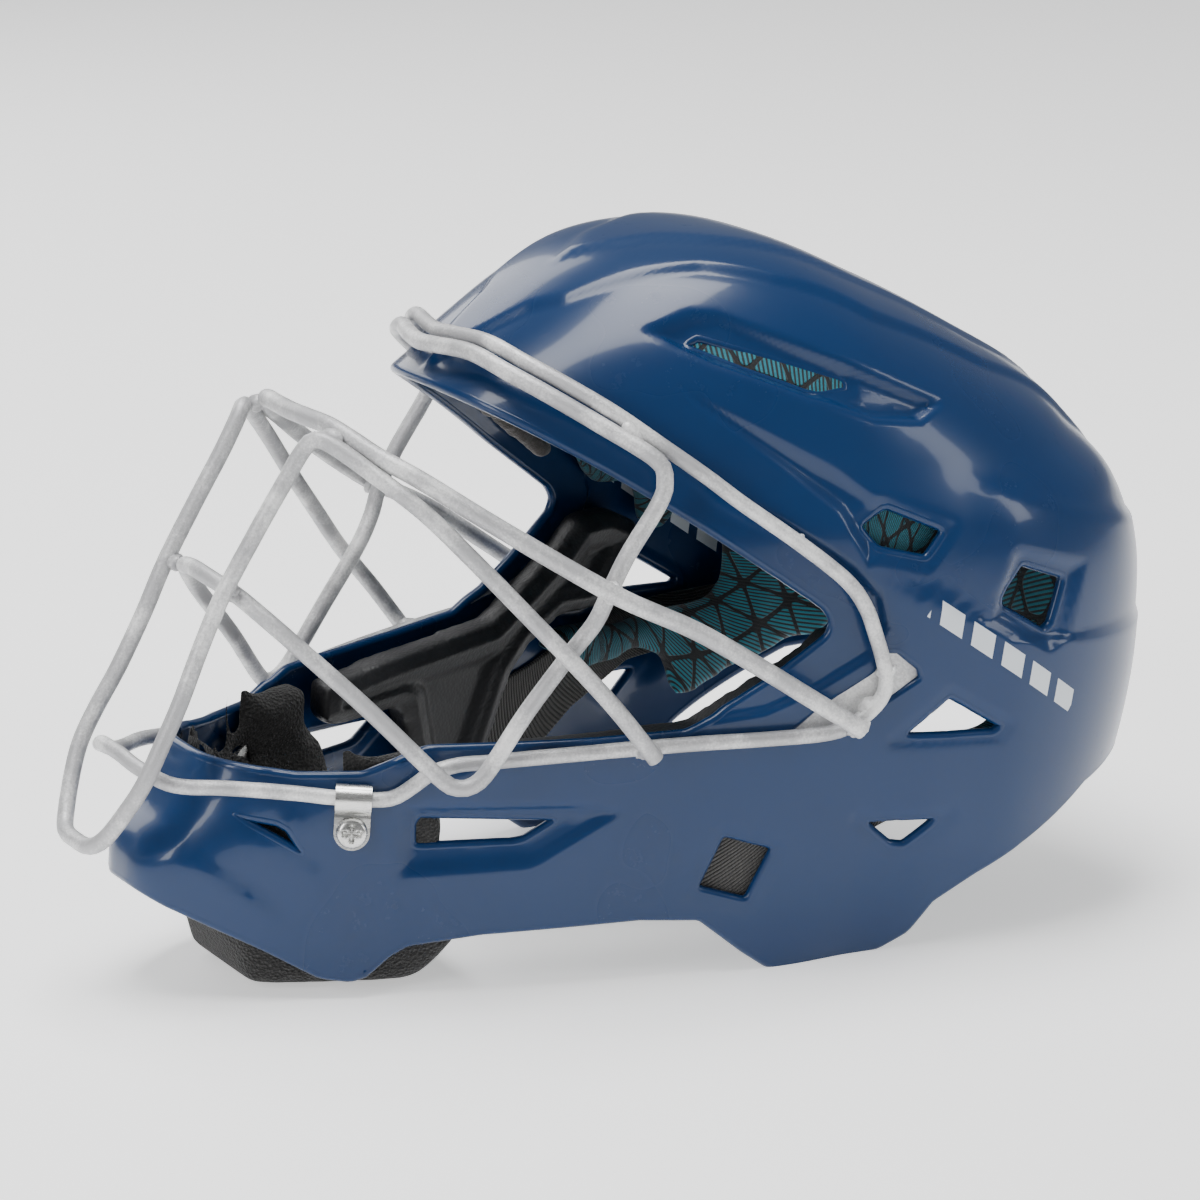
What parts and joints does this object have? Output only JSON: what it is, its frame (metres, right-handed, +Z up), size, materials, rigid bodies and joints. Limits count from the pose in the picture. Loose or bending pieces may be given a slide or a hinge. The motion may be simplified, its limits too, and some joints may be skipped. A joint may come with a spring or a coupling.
{
  "type": "catchers mask",
  "caption": "Hockey-style catcher's helmet: rounded shell with vents, welded wire face cage, padded liner, chin pad and a sprung back plate.",
  "frame": {"origin": "on the floor under the middle of the whole mask's box", "axes": "+Z up as it rests on a table, the face and its cage towards -X, the wearer's left side towards -Y"},
  "size_m": [0.3404, 0.2004, 0.2099],
  "materials": {
    "shell": "glossy moulded navy shell with small scuffs",
    "cage": "satin silver-white powder coat over steel wire",
    "steel": "bright plated steel",
    "liner": "teal stretch mesh over foam with black printed lines",
    "brow": "brown-black brushed cover over foam",
    "jaw": "satin moulded black foam",
    "chin": "fuzzy black loop fabric over foam",
    "webbing": "woven elastic webbing"
  },
  "bodies": {
    "mask_shell": {"outer_shell": "shell", "crown_pad": "liner", "brow_pad": "brow", "chin_pad": "chin", "outer_frame_wire": "cage", "brow_loop_wire": "cage", "eye_bar_wire": "cage", "nose_loop_wire": "cage", "top_strap": "webbing", "ear_pad_left": "liner", "ear_pad_right": "liner", "jaw_pad_left": "jaw", "jaw_pad_right": "jaw", "side_strap_left": "webbing", "side_strap_right": "webbing", "side_plate_left": "cage", "side_plate_right": "cage", "plate_screw_left": "steel", "plate_screw_right": "steel", "wire_clip_left": "steel", "wire_clip_right": "steel", "clip_screw_left": "steel", "clip_screw_right": "steel", "clip_tee_nut_left": "steel", "clip_tee_nut_right": "steel"},
    "back_plate": {"back_plate": "shell", "back_plate_pad": "liner"}
  },
  "joints": [
    {"name": "back_plate_swing", "type": "hinge", "parent": "mask_shell", "child": "back_plate", "pos_m": [0.16522, 0, 0.12], "axis": [0, -1, 0], "range_deg": [0, 30], "stiffness_Nm_per_rad": 0.3, "springref_deg": -11.46, "deforming": ["top_strap"]}
  ]
}
